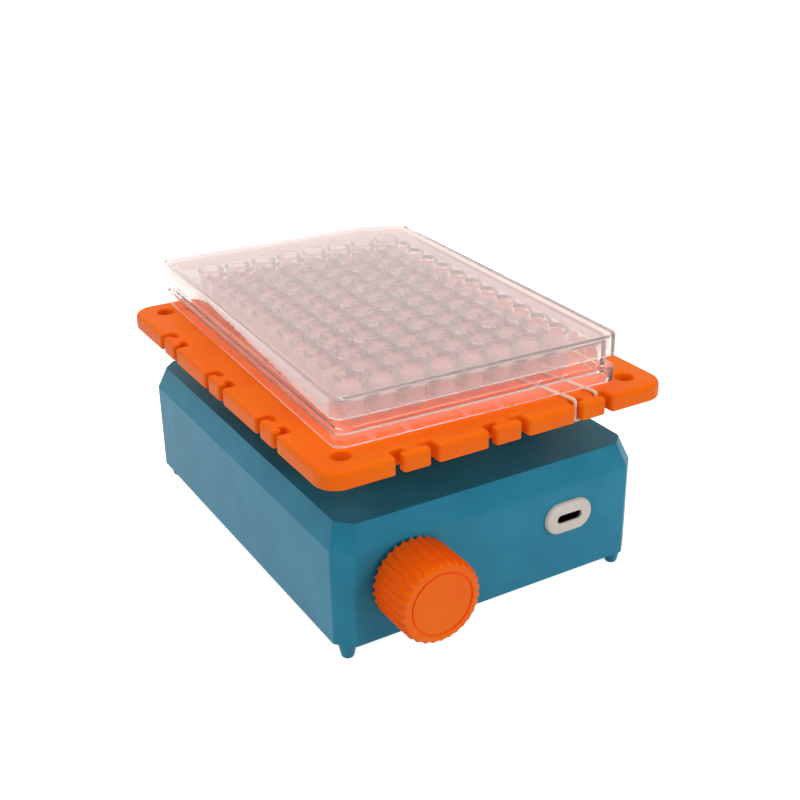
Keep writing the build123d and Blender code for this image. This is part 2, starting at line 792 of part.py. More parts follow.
def build_pieces():
    pieces = {
        "housing_shell": make_housing_shell(),
        "bottom_cover": make_bottom_cover(),
        "cover_screws": make_cover_screws(),
        "motor_body": make_motor_body(),
        "motor_screws": make_motor_screws(),
        "control_board": make_control_board(),
        "board_screws": make_board_screws(),
        "board_components": make_board_components(),
        "usb_socket": make_usb_socket(),
        "usb_bezel": make_usb_bezel(),
        "potentiometer_body": make_potentiometer_body(),
        "potentiometer_nut": make_potentiometer_nut(),
        "potentiometer_shaft": make_pot_shaft(),
        "speed_knob": make_knob(),
        "motor_shaft": make_motor_shaft(),
        "crank_hub": drive_place * make_crank_hub(),
        "crank_pin": drive_place * make_crank_pin(),
        "hub_set_screw": drive_place * make_hub_set_screw(),
        "counterweight": drive_place * make_counterweight(),
        "counterweight_screws": drive_place * make_weight_screws(),
        "tray_platform": make_tray_platform(),
        "elastic_band": make_elastic_band(),
        "microplate": place_plate(make_microplate()),
        "plate_lid": place_plate(make_plate_lid()),
    }
    corner_names = {
        (-1, -1): "front_left",
        (1, -1): "front_right",
        (-1, 1): "back_left",
        (1, 1): "back_right",
    }
    for (sx, sy), corner in corner_names.items():
        pieces[f"foot_{corner}"] = make_foot(sx * foot_x, sy * foot_y)
        x = sx * idler_x
        y = sy * idler_y
        pieces[f"idler_crank_{corner}"] = make_idler_crank(x, y)
        pieces[f"idler_clip_{corner}"] = make_idler_clip(x, y)
    idler_bore = idler_pin_radius + running_gap
    pivot_bore = idler_pin_radius + pivot_gap
    pieces["housing_bearings"] = Compound(
        [
            bearing(x, y, lower_bearing_bottom, idler_bearing_radius, idler_bore).solid()
            for x, y in idler_places
        ]
    )
    pieces["tray_bearings"] = Compound(
        [
            bearing(x + pin_x, y + pin_y, idler_boss_bottom, idler_bearing_radius, pivot_bore).solid()
            for x, y in idler_places
        ]
    )
    hub_bore = crank_pin_radius + running_gap
    pieces["tray_hub_bearing"] = bearing(pin_x, pin_y, hub_boss_bottom, hub_bearing_radius, hub_bore)
    return pieces


os.makedirs("parts", exist_ok=True)
for name, piece in build_pieces().items():
    export_step(piece, f"parts/{name}.step")
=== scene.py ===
# Looks of a small orbital shaker that carries a lidded 96-well plate. Lengths are in metres.
import json
import math
import bmesh
import bpy
from mathutils import Matrix, Vector


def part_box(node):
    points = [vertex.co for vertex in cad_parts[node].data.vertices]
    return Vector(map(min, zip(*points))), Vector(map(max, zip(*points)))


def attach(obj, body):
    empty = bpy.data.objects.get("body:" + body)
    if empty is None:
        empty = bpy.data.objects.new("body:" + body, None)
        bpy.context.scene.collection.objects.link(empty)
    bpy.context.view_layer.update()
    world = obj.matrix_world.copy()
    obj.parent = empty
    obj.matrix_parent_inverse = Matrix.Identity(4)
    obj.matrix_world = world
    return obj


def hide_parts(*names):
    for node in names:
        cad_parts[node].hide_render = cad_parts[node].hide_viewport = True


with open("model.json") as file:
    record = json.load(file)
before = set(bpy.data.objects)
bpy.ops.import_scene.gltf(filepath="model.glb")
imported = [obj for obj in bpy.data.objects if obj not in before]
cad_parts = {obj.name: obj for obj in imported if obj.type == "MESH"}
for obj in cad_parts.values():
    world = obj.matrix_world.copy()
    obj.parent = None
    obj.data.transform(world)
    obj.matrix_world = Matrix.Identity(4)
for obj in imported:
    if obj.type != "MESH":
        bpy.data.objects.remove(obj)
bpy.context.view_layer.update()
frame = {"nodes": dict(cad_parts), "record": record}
nodes = frame["nodes"]
mm = 0.001
print("frame loaded with", len(nodes), "nodes")

trayLow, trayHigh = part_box("tray_platform")
trayMiddle = (trayLow + trayHigh) / 2
trayTop = trayHigh.z

# Camera, as fitted to the photograph
cameraSetup = {
    "eye": (-0.16692, -0.29735),
    "aboveTray": 0.13842,
    "yaw": 30.45,  # degrees to the right of +Y
    "pitch": 24.82,  # degrees down
    "roll": 0.77,
    "lens": 55.36,
    "sensor": 36.0,
}


def makeCamera(setup):
    yaw, pitch, roll = (math.radians(setup[part]) for part in ("yaw", "pitch", "roll"))
    forward = Vector((math.sin(yaw) * math.cos(pitch), math.cos(yaw) * math.cos(pitch), -math.sin(pitch)))
    level = Vector((math.cos(yaw), -math.sin(yaw), 0))
    down = forward.cross(level)
    right = level * math.cos(roll) + down * math.sin(roll)
    up = level * math.sin(roll) - down * math.cos(roll)
    data = bpy.data.cameras.new("camera")
    data.lens = setup["lens"]
    data.sensor_width = setup["sensor"]
    data.clip_start = 0.01
    camera = bpy.data.objects.new("camera", data)
    turn = Matrix((right, up, -forward)).transposed().to_4x4()
    spot = Vector((*setup["eye"], trayTop + setup["aboveTray"]))
    camera.matrix_world = Matrix.Translation(spot) @ turn
    bpy.context.scene.collection.objects.link(camera)
    bpy.context.scene.camera = camera


makeCamera(cameraSetup)
print("camera placed")


# sRGB hex to the linear values that a shader takes
def linear(code):
    parts = [int(code[at:at + 2], 16) / 255 for at in (1, 3, 5)]
    return tuple(c / 12.92 if c <= 0.04045 else ((c + 0.055) / 1.055) ** 2.4 for c in parts) + (1.0,)


# Adds one shader node. An input is a plain value or the socket that feeds it.
def addNode(tree, kind, inputs=None, **settings):
    node = tree.nodes.new(kind)
    for name, value in settings.items():
        setattr(node, name, value)
    for name, value in (inputs or {}).items():
        if isinstance(value, bpy.types.NodeSocket):
            tree.links.new(value, node.inputs[name])
        else:
            node.inputs[name].default_value = value
    return node


def newMaterial(name):
    material = bpy.data.materials.new(name)
    material.use_nodes = True
    material.node_tree.nodes.clear()
    return material, material.node_tree


def closeMaterial(tree, shader):
    addNode(tree, "ShaderNodeOutputMaterial", {"Surface": shader.outputs[0]})


# Colour that wanders between two tones over patches of about the given size
def mottle(tree, dark, light, patch, place):
    noise = addNode(tree, "ShaderNodeTexNoise", {"Vector": place, "Scale": 1 / patch, "Detail": 3.0})
    spread = addNode(tree, "ShaderNodeMapRange", {"Value": noise.outputs["Fac"],
                                                  "From Min": 0.35, "From Max": 0.65})
    mix = addNode(tree, "ShaderNodeMix", {"Factor": spread.outputs["Result"]}, data_type="RGBA")
    mix.inputs[6].default_value = linear(dark)
    mix.inputs[7].default_value = linear(light)
    return mix.outputs[2]


# Printed plastic: stacked layers show as fine level ridges, and the satin skin has a faint unevenness.
# Real layers are 0.2 mm, too fine for the picture, so they are drawn 0.6 mm apart.
def printedPlastic(name, dark, light, roughness, layer=0.6 * mm, ridge=0.006 * mm):
    material, tree = newMaterial(name)
    place = addNode(tree, "ShaderNodeTexCoord").outputs["Object"]
    colour = mottle(tree, dark, light, 14 * mm, place)
    layers = addNode(tree, "ShaderNodeTexWave", {"Vector": place, "Scale": math.tau / (20 * layer),
                                                 "Distortion": 0.4, "Detail": 1.0},
                     wave_type="BANDS", bands_direction="Z")
    grain = addNode(tree, "ShaderNodeTexNoise", {"Vector": place, "Scale": 1 / (0.5 * mm), "Detail": 2.0})
    height = addNode(tree, "ShaderNodeMath", {0: layers.outputs["Fac"], 1: grain.outputs["Fac"]},
                     operation="ADD")
    bump = addNode(tree, "ShaderNodeBump", {"Height": height.outputs[0], "Strength": 0.35, "Distance": ridge})
    sheen = addNode(tree, "ShaderNodeMapRange", {"Value": grain.outputs["Fac"], "To Min": roughness - 0.05,
                                                 "To Max": roughness + 0.05})
    skin = addNode(tree, "ShaderNodeBsdfPrincipled", {"Base Color": colour, "IOR": 1.46,
                                                      "Roughness": sheen.outputs["Result"],
                                                      "Normal": bump.outputs["Normal"],
                                                      "Specular IOR Level": 0.22})
    closeMaterial(tree, skin)
    return material


# Metal with a fine finish: turned, ground or plated. Patches of the given size vary its gloss.
def plainMetal(name, tone, roughness, patch):
    material, tree = newMaterial(name)
    place = addNode(tree, "ShaderNodeTexCoord").outputs["Object"]
    grain = addNode(tree, "ShaderNodeTexNoise", {"Vector": place, "Scale": 1 / patch, "Detail": 4.0})
    gloss = addNode(tree, "ShaderNodeMapRange", {"Value": grain.outputs["Fac"], "To Min": roughness * 0.7,
                                                 "To Max": roughness * 1.3})
    bump = addNode(tree, "ShaderNodeBump", {"Height": grain.outputs["Fac"], "Strength": 0.2,
                                            "Distance": 0.01 * mm})
    skin = addNode(tree, "ShaderNodeBsdfPrincipled", {"Base Color": linear(tone), "Metallic": 1.0,
                                                      "Roughness": gloss.outputs["Result"],
                                                      "Normal": bump.outputs["Normal"]})
    closeMaterial(tree, skin)
    return material


# Lets lamp light through a clear skin, as thin clear plastic does, so that what lies under it is lit
def closeClearMaterial(tree, skin, tone):
    through = addNode(tree, "ShaderNodeBsdfTransparent", {"Color": linear(tone)})
    path = addNode(tree, "ShaderNodeLightPath")
    either = addNode(tree, "ShaderNodeMixShader", {0: path.outputs["Is Shadow Ray"], 1: skin.outputs[0],
                                                   2: through.outputs[0]})
    closeMaterial(tree, either)


# Clear moulded polystyrene. A little of its light is scattered, which is the milky haze of handled labware.
# Its walls are thin, so it bends light less than solid plastic would, and a gloss layer keeps the glints.
def clearPlastic(name, tone, haze, roughness):
    material, tree = newMaterial(name)
    place = addNode(tree, "ShaderNodeTexCoord").outputs["Object"]
    flow = addNode(tree, "ShaderNodeTexNoise", {"Vector": place, "Scale": 1 / (6 * mm), "Detail": 1.0})
    bump = addNode(tree, "ShaderNodeBump", {"Height": flow.outputs["Fac"], "Strength": 0.3,
                                            "Distance": 0.05 * mm})
    skin = addNode(tree, "ShaderNodeBsdfPrincipled", {"Base Color": linear(tone), "IOR": 1.22,
                                                      "Roughness": roughness,
                                                      "Transmission Weight": 1 - haze, "Coat Weight": 0.7,
                                                      "Normal": bump.outputs["Normal"]})
    closeClearMaterial(tree, skin, tone)
    return material


# PETG printed in layers: satin, with a faint cloudiness
tealPetg = printedPlastic("printedPetgTeal", "#23819F", "#2A8BA9", 0.42)
tealCover = printedPlastic("printedPetgTealCover", "#217A97", "#27829F", 0.5)
# PLA, printed: strong even colour and a dull satin skin
orangePla = printedPlastic("printedPlaOrange", "#FF6C00", "#FF7400", 0.5)
# ABS, moulded: smoother than the printed parts, so its layers are all but gone
orangeAbs = printedPlastic("mouldedAbsOrange", "#FF6A00", "#FF7200", 0.42, layer=4 * mm, ridge=0.003 * mm)
# Warm white PLA and the socket's black nylon
whitePla = printedPlastic("printedPlaWarmWhite", "#DCD2C8", "#E6DDD3", 0.45)
blackNylon = printedPlastic("mouldedNylonBlack", "#0C0C0E", "#131316", 0.4, layer=4 * mm)
# Solder mask gives the board a smooth green, and the elastic is a matt cream
greenBoard = printedPlastic("solderMaskGreen", "#0F4A28", "#135A31", 0.3, layer=4 * mm)
creamElastic = printedPlastic("braidedElasticCream", "#E9D3B4", "#F4E2C8", 0.55, layer=4 * mm)
# Zinc plating is a soft grey, bearing steel nearly a mirror, ground steel fine and bright, cut plate dull
zincSteel = plainMetal("zincPlatedSteel", "#9A9B9E", 0.35, 1.5 * mm)
bearingSteel = plainMetal("polishedBearingSteel", "#B6B7BA", 0.18, 0.8 * mm)
groundSteel = plainMetal("groundSteel", "#A9AAAC", 0.22, 0.5 * mm)
cutSteel = plainMetal("cutSteelPlate", "#77787B", 0.4, 1 * mm)
# Turned aluminium is pale and silky, the socket's nickel shell is painted dark to stand for the shade deep in
# its slot, its contacts a thin bright gold
turnedAluminium = plainMetal("turnedAluminium", "#B9BBBF", 0.3, 0.6 * mm)
# Nickel tone darkened to paint the shade inside the socket's slot, not the plating's own colour
nickelInPaintedShade = plainMetal("socketShellPaintedShade", "#3A3A3C", 0.4, 0.5 * mm)
goldContact = plainMetal("goldPlatedContact", "#D9B44A", 0.25, 0.3 * mm)
# Moulded polystyrene: glass-clear with a slight milky cast that the lid shows most
clearPlate = clearPlastic("clearPolystyrenePlate", "#F4ECEA", 0.05, 0.03)
clearLid = clearPlastic("clearPolystyreneLid", "#F2E7E4", 0.1, 0.03)


# Phenol-red growth medium: a clear pink liquid
def pinkMedium():
    material, tree = newMaterial("phenolRedMedium")
    place = addNode(tree, "ShaderNodeTexCoord").outputs["Object"]
    colour = mottle(tree, "#EFA9A2", "#F4B8B1", 20 * mm, place)
    skin = addNode(tree, "ShaderNodeBsdfPrincipled", {"Base Color": colour, "Roughness": 0.05, "IOR": 1.33,
                                                      "Transmission Weight": 0.5})
    closeClearMaterial(tree, skin, "#F2B5AF")
    return material


medium = pinkMedium()

finishes = {
    "housing_plastic": tealPetg, "cover_plastic": tealCover, "tray_plastic": orangePla,
    "knob_plastic": orangeAbs, "bezel_plastic": whitePla, "screw_steel": zincSteel,
    "bearing_steel": bearingSteel, "shaft_steel": groundSteel, "motor_steel": zincSteel,
    "hub_aluminium": turnedAluminium, "weight_steel": cutSteel, "board_laminate": greenBoard,
    "component_plastic": blackNylon, "socket_steel": nickelInPaintedShade, "control_metal": zincSteel,
    "plate_polystyrene": clearPlate, "lid_polystyrene": clearLid, "band_rubber": creamElastic,
}
for part in frame["record"]["subparts"]:
    mesh = nodes[part["node"]].data
    mesh.materials.clear()
    mesh.materials.append(finishes[part["material_slot"]])
print("materials made and given to the carried-over nodes")


# Softens the printed edges of a node that stays: its split corners are joined, then bevelled.
def softenEdges(name, width):
    node = nodes[name]
    join = node.modifiers.new("join", "WELD")
    join.merge_threshold = 0.002 * mm
    soften = node.modifiers.new("soften", "BEVEL")
    soften.width = width
    soften.segments = 2
    soften.limit_method = "ANGLE"
    soften.angle_limit = math.radians(25)


# Turns a mesh into a piece that rides on a body, and hides the nodes that it stands for
def addPiece(name, bm, material, body, stoodFor=(), sharpAngle=35, place=None):
    bmesh.ops.recalc_face_normals(bm, faces=bm.faces)
    mesh = bpy.data.meshes.new(name)
    bm.to_mesh(mesh)
    bm.free()
    if place is not None:
        mesh.transform(place)
    mesh.shade_smooth()
    mesh.set_sharp_from_angle(angle=math.radians(sharpAngle))
    mesh.materials.append(material)
    piece = bpy.data.objects.new(name, mesh)
    bpy.context.scene.collection.objects.link(piece)
    weigh = piece.modifiers.new("weigh", "WEIGHTED_NORMAL")  # flat faces stay flat beside their rounds
    weigh.keep_sharp = True
    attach(piece, body)
    if stoodFor:
        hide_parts(*stoodFor)
    return piece


# Points of an arc with the round that the edge has there. Angles are in degrees.
def arc(x, y, radius, start, end, steps, edgeRound=None):
    turns = [math.radians(start + (end - start) * k / steps) for k in range(steps + 1)]
    return [(x + radius * math.cos(t), y + radius * math.sin(t), edgeRound) for t in turns]


def circle(x, y, radius, sides, edgeRound=None):
    return arc(x, y, radius, 0, -360 * (sides - 1) / sides, sides - 1, edgeRound)


def stadium(width, height, clockwise=False):
    reach = (width - height) / 2
    line = arc(reach, 0, height / 2, -90, 90, 16) + arc(-reach, 0, height / 2, 90, 270, 16)
    return line[::-1] if clockwise else line


# Polygon with rounded corners, given anticlockwise as (x, y, radius)
def roundedPolygon(corners, steps=6):
    line = []
    count = len(corners)
    for k in range(count):
        before, here, after = (Vector(corners[at % count][:2]) for at in (k - 1, k, k + 1))
        radius = corners[k][2]
        arrive, leave = (here - before).normalized(), (after - here).normalized()
        turn = math.atan2(arrive.x * leave.y - arrive.y * leave.x, arrive.dot(leave))
        start = here - arrive * radius * math.tan(turn / 2)
        middle = start + Vector((-arrive.y, arrive.x)) * radius
        first = math.degrees(math.atan2(start.y - middle.y, start.x - middle.x))
        line += arc(middle.x, middle.y, radius, first, first + math.degrees(turn), steps)
    return line


# Moves an outline's points to the left of its direction by a share of their edge rounds
def shifted(outline, share, full):
    count = len(outline)
    moved = []
    for k in range(count):
        before, here, after = (Vector(outline[at % count][:2]) for at in (k - 1, k, k + 1))
        way = ((here - before).normalized() + (after - here).normalized()).normalized()
        own = min(full, outline[k][2] or full)
        moved.append((here.x - way.y * share * own, here.y + way.x * share * own, own))
    return moved


# Rings of points joined into a skin. Returns the vertices ring by ring.
def joinRings(bm, rings):
    made = [[bm.verts.new(point) for point in ring] for ring in rings]
    count = len(rings[0])
    for lower, upper in zip(made, made[1:]):
        for k in range(count):
            after = (k + 1) % count
            bm.faces.new((lower[k], lower[after], upper[after], upper[k]))
    return made


def ringEdges(bm, ring):
    return [bm.edges.get((ring[k - 1], ring[k])) for k in range(len(ring))]


# Slab with rounded edges between two heights. Outlines run with the material on their left: the outer one
# anticlockwise, holes clockwise. place turns (x, y, height) into a point of the frame.
def roundedSlab(bm, outlines, low, high, lowRound, highRound, place, steps=4):
    lowEdges, highEdges = [], []
    bends = [math.pi / 2 * k / steps for k in range(steps + 1)]
    for outline in outlines:
        rings = []
        for bend in bends:
            ring = shifted(outline, 1 - math.sin(bend), lowRound)
            rings.append([place(x, y, low + own * (1 - math.cos(bend))) for x, y, own in ring])
        for bend in bends:
            ring = shifted(outline, 1 - math.cos(bend), highRound)
            rings.append([place(x, y, high - own * (1 - math.sin(bend))) for x, y, own in ring])
        made = joinRings(bm, rings)
        lowEdges += ringEdges(bm, made[0])
        highEdges += ringEdges(bm, made[-1])
    bmesh.ops.triangle_fill(bm, edges=lowEdges, use_beauty=True)
    bmesh.ops.triangle_fill(bm, edges=highEdges, use_beauty=True)


# Turned piece about an upright line, from its profile of (radius, height), with both ends closed
def turnedPiece(bm, x, y, profile, sides=48):
    turns = [math.tau * k / sides for k in range(sides)]
    rings = [[(x + r * math.cos(t), y + r * math.sin(t), z) for t in turns] for r, z in profile]
    made = joinRings(bm, rings)
    bm.faces.new(made[0])
    bm.faces.new(made[-1])


# Tray: a plate with notch pairs and corner holes, and the bearing bosses under it
tray = {
    "thickness": 5.0 * mm,
    "cornerRadius": 6.5 * mm,
    "topRound": 1.6 * mm,
    "bottomRound": 0.6 * mm,
    "notchRound": 0.7 * mm,  # round of the edges inside the notches and holes
    "lip": 0.9 * mm,
    "pitch": (27.6 * mm, 34.3 * mm),
    "halfSpread": 5.1 * mm,
    "notchWidth": 2.2 * mm,
    "notchDepth": 4.6 * mm,
    "footWidth": 1.9 * mm,
    "neckHalf": 2.0 * mm,
    "shoulder": 0.6 * mm,
    "holeRadius": 2.65 * mm,
    "holeInset": (8.9 * mm, 8.6 * mm),
    "bossWall": 2.2 * mm,
    "seatWidth": 1.4 * mm,
    "bearingHeight": 4.0 * mm,
    "idlerBore": 4.0 * mm,
    "pinRoom": 0.9 * mm,  # over the pins' ends
}
traySize = trayHigh - trayLow
trayBottom = trayTop - tray["thickness"]


# One notch on an edge that runs along +X with the material above it. Mirrored for the other of its pair.
def notchOutline(middle, mirrored):
    lip, foot, half = tray["lip"], tray["footWidth"] / 2, tray["notchWidth"] / 2
    footLine = tray["notchDepth"] - foot
    outer = -tray["halfSpread"] - half
    inner = -tray["halfSpread"] + half
    neck = -tray["neckHalf"] - foot
    shoulder = tray["shoulder"]
    fine = tray["notchRound"]
    line = arc(outer - lip, lip, lip, -90, 0, 5, fine)
    line += arc(outer + foot, footLine, foot, 180, 90, 6, fine)
    line += arc(neck, footLine, foot, 90, -90, 10, fine)
    line += arc(inner + shoulder, footLine - foot - shoulder, shoulder, 90, 180, 4, fine * 0.75)
    line += arc(inner + lip, lip, lip, 180, 270, 5, fine)
    if mirrored:
        line = [(-x, y, own) for x, y, own in reversed(line)]
    return [(x + middle, y, own) for x, y, own in line]


def trayOutline():
    corner = tray["cornerRadius"]
    outline = []
    for quarter in range(4):
        along = quarter % 2
        length, across = traySize[along], traySize[1 - along]
        line = []
        for index in (-1, 0, 1):
            middle = index * tray["pitch"][along]
            line += notchOutline(middle, False) + notchOutline(middle, True)
        line += arc(length / 2 - corner, corner, corner, -88, -2, 14)
        turn = math.pi / 2 * quarter
        c, s = round(math.cos(turn)), round(math.sin(turn))
        for x, y, own in line:
            y -= across / 2
            outline.append((x * c - y * s, x * s + y * c, own))
    return outline


# Points near the ends of each long straight run, so that the edge's round changes over a short stretch
def withRunEnds(outline, step):
    filled = []
    count = len(outline)
    for k in range(count):
        here, after = outline[k], outline[(k + 1) % count]
        filled.append(here)
        length = math.dist(here[:2], after[:2])
        if length > 2.2 * step:
            for at in (step / length, 1 - step / length):
                run = [a + (b - a) * at for a, b in zip(here[:2], after[:2])]
                filled.append((*run, None))
    return filled


def makeTray():
    bm = bmesh.new()
    holeX, holeY = (traySize[axis] / 2 - tray["holeInset"][axis] for axis in (0, 1))
    outlines = [withRunEnds(trayOutline(), 1.6 * mm)]
    for sx in (-1, 1):
        for sy in (-1, 1):
            outlines.append(circle(sx * holeX, sy * holeY, tray["holeRadius"], 36, tray["notchRound"]))

    def onTray(x, y, z):
        return (x + trayMiddle.x, y + trayMiddle.y, z)

    roundedSlab(bm, outlines, trayBottom, trayTop, tray["bottomRound"], tray["topRound"], onTray)

    bearingLow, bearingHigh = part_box("tray_bearings")
    hubLow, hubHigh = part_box("tray_hub_bearing")
    hubRadius = (hubHigh.x - hubLow.x) / 2
    idlerRadius = tray["idlerBore"]
    places = [(x, y, idlerRadius, bearingLow.z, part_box("idler_crank_front_left")[1].z + tray["pinRoom"])
              for x in (bearingLow.x + idlerRadius, bearingHigh.x - idlerRadius)
              for y in (bearingLow.y + idlerRadius, bearingHigh.y - idlerRadius)]
    places.append((hubLow.x + hubRadius, hubLow.y + hubRadius, hubRadius, hubLow.z,
                   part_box("crank_pin")[1].z + tray["pinRoom"]))
    for x, y, bore, low, ceiling in places:
        outer = bore + tray["bossWall"]
        seat = bore - tray["seatWidth"]
        shelf = low + tray["bearingHeight"]
        turnedPiece(bm, x, y, [(outer, trayBottom + 0.2 * mm), (outer, low + 0.4 * mm),
                               (outer - 0.1 * mm, low + 0.1 * mm), (outer - 0.4 * mm, low),
                               (bore + 0.2 * mm, low), (bore, low + 0.2 * mm), (bore, shelf), (seat, shelf),
                               (seat, ceiling)])
    return addPiece("trayPlatform", bm, orangePla, "tray", ["tray_platform"])


trayPiece = makeTray()
print("tray made with", len(trayPiece.data.polygons), "faces")


# Elastic band: one loop, laced from the right cleat of the front edge to the middle cleat of the back edge
band = {
    "radius": 0.5 * mm,
    "gap": 0.05 * mm,
    "frontOuter": (22.9 * mm, -64.9 * mm),
    "frontInner": (30.8 * mm, -63.75 * mm),
    "backOuter": (-4.7 * mm, 63.75 * mm),
    "backInner": (3.2 * mm, 63.75 * mm),
    "longBend": 3.6 * mm,  # where a strand eases over the tray's edge
    "shortBend": 1.7 * mm,
}


def makeBand():
    over = trayTop + band["radius"] + band["gap"]
    under = trayBottom - band["radius"] - band["gap"]
    stops = [(*band["frontOuter"], over), (*band["backOuter"], over), (*band["backOuter"], under),
             (*band["backInner"], under), (*band["backInner"], over), (*band["frontInner"], over),
             (*band["frontInner"], under), (*band["frontOuter"], under)]
    stops = [Vector((x + trayMiddle.x, y + trayMiddle.y, z)) for x, y, z in stops]
    points = []
    for k, here in enumerate(stops):
        before, after = stops[k - 1], stops[(k + 1) % len(stops)]
        for other, first in ((before, True), (after, False)):
            run = other - here
            bend = band["longBend"] if run.length > 50 * mm else band["shortBend"]
            near = here + run.normalized() * min(bend, run.length * 0.35)
            points += [near, here] if first else [near]
    curve = bpy.data.curves.new("elasticBand", "CURVE")
    curve.dimensions = "3D"
    curve.bevel_depth = band["radius"]
    curve.bevel_resolution = 5
    curve.resolution_u = 8
    spline = curve.splines.new("NURBS")
    spline.points.add(len(points) - 1)
    for spot, point in zip(points, spline.points):
        point.co = (*spot, 1)
    spline.order_u = 3
    spline.use_cyclic_u = True
    draft = bpy.data.objects.new("bandDraft", curve)
    bm = bmesh.new()
    bm.from_mesh(bpy.data.meshes.new_from_object(draft))
    bpy.data.objects.remove(draft)
    addPiece("elasticBand", bm, creamElastic, "tray", ["elastic_band"], 60)


makeBand()
print("band laced")


# Knob: flutes cut along it with a round tool, a rounded front edge and a fine ring in the face
knob = {
    "flutes": 30,
    "fluteRadius": 1.1 * mm,
    "frontRound": 1.7 * mm,
    "ringRadius": 8.85 * mm,
    "ringWidth": 0.6 * mm,
    "ringDepth": 0.4 * mm,
    "recessRadius": 7.6 * mm,
    "recessDepth": 3.4 * mm,
    "blend": 0.22 * mm,  # how softly the ridges and the flute ends are rounded
    "samples": 12,  # round the knob, for each flute
    "hubRadius": 1 * mm,  # where the face and the recess are closed
}


def makeKnob():
    low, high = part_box("speed_knob")
    middleX, middleZ = (low.x + high.x) / 2, (low.z + high.z) / 2
    radius, length = (high.z - low.z) / 2, high.y - low.y
    sides = knob["flutes"] * knob["samples"]
    flute, blend = knob["fluteRadius"], knob["blend"]

    def fluteFloor(turn):
        pitch = math.tau / knob["flutes"]
        off = (turn + pitch / 2) % pitch - pitch / 2
        reach = flute ** 2 - (radius * math.sin(off)) ** 2
        return radius * math.cos(off) - math.sqrt(max(reach, 0)) if reach > 0 else radius + flute

    def softLower(a, b):
        mix = max(blend - abs(a - b), 0) / blend
        return min(a, b) - mix * mix * blend / 4

    def ring(r, depth, fluted=False):
        points = []
        for k in range(sides):
            turn = math.tau * k / sides
            own = softLower(r, fluteFloor(turn)) if fluted else r
            points.append((middleX + own * math.cos(turn), low.y + depth, middleZ + own * math.sin(turn)))
        return points

    edge = knob["frontRound"]
    face = radius - edge
    ringIn, ringOut = (knob["ringRadius"] + side * knob["ringWidth"] / 2 for side in (-1, 1))
    deep = knob["ringDepth"]
    hub = knob["hubRadius"]
    rings = [ring(hub, 0), ring(ringIn - 0.12 * mm, 0), ring(ringIn, 0.05 * mm),
             ring(ringIn + 0.08 * mm, deep), ring(ringOut - 0.08 * mm, deep), ring(ringOut, 0.05 * mm),
             ring(ringOut + 0.12 * mm, 0), ring(face, 0)]
    for k in range(1, 9):
        bend = math.pi / 2 * k / 8
        rings.append(ring(face + edge * math.sin(bend), edge * (1 - math.cos(bend)), True))
    rings += [ring(radius, depth, True) for depth in (edge + 1 * mm, edge + 2 * mm, length - 1.5 * mm,
                                                      length - 0.5 * mm)]
    rings += [ring(radius - 0.12 * mm, length - 0.15 * mm, True), ring(radius - 0.4 * mm, length, True)]
    recess = knob["recessRadius"]
    rings += [ring(radius - 1.7 * mm, length), ring(recess, length),
              ring(recess, length - knob["recessDepth"]),
              ring(hub, length - knob["recessDepth"])]
    bm = bmesh.new()
    made = joinRings(bm, rings)
    bm.faces.new(made[0])
    bm.faces.new(made[-1])
    addPiece("speedKnob", bm, orangeAbs, "knob", ["speed_knob"], 50)


makeKnob()
print("knob made")


# Socket and its white bezel in the front face
socket = {
    "opening": (8.34 * mm, 2.56 * mm),
    "shellWall": 0.3 * mm,
    "shellLength": 7.3 * mm,
    "setBack": 0.5 * mm,
    "bezelRound": 0.9 * mm,
    "neckMargin": 1.3 * mm,
    "tongue": (6.7 * mm, 0.7 * mm, 4.6 * mm),
    "contacts": 12,
    "contactPitch": 0.5 * mm,
}


